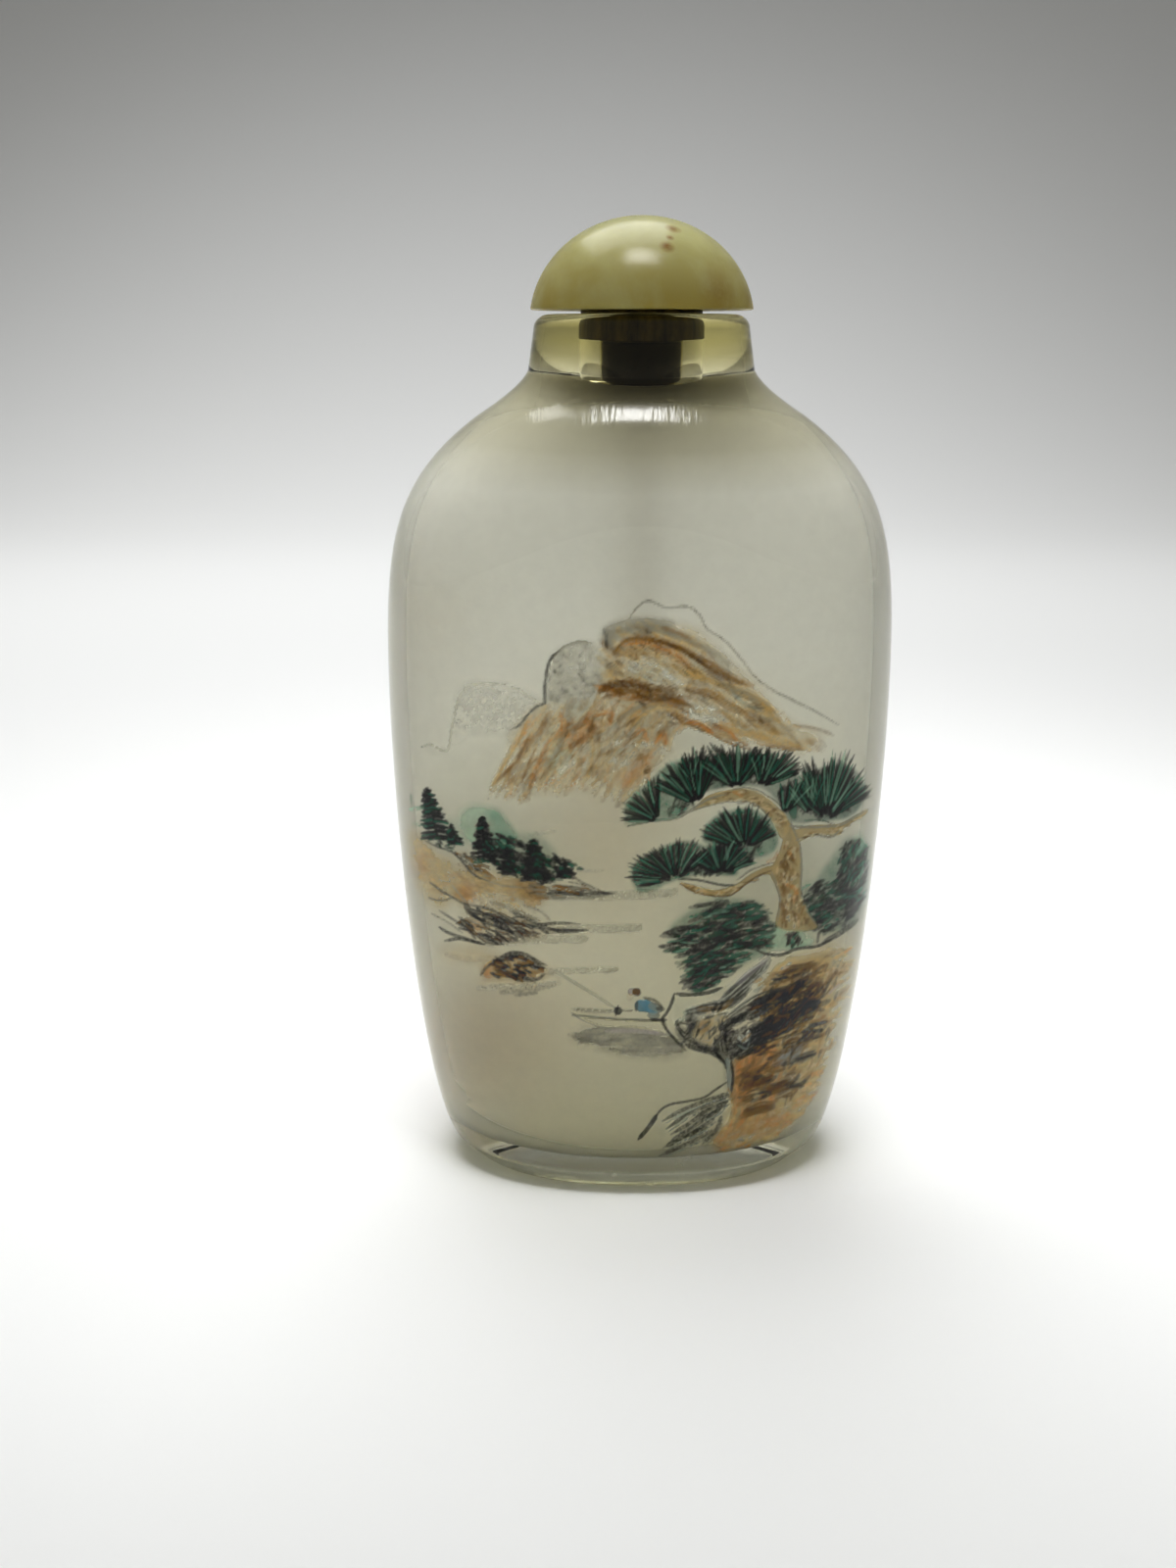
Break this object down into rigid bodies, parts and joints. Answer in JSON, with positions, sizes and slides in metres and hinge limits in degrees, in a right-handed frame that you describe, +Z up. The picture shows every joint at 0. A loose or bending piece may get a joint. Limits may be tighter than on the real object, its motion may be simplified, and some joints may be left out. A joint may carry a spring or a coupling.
{
  "type": "reverse painted perfume bottle",
  "caption": "Flattened glass bottle with a landscape painted inside its front wall, a short thick neck and a domed stone stopper with cork and dip spoon.",
  "frame": {"origin": "centre of the underside, on the surface the bottle stands on", "axes": "+Z up through the neck, +X to the right of the painted front, the painted front faces -Y"},
  "size_m": [0.0422, 0.0252, 0.08],
  "materials": {
    "glass": "polished outside, ground matt inside",
    "cap_stone": "polished pale olive stone with rust flecks",
    "collar_horn": "satin olive brown",
    "plug_cork": "dark stained cork",
    "spoon_bamboo": "dull bamboo",
    "paint": "matt ink and water colour"
  },
  "bodies": {
    "root": {"bottle": "glass", "stopper_cap": "cap_stone", "stopper_collar": "collar_horn", "stopper_plug": "plug_cork", "stopper_spoon": "spoon_bamboo"}
  },
  "joints": []
}
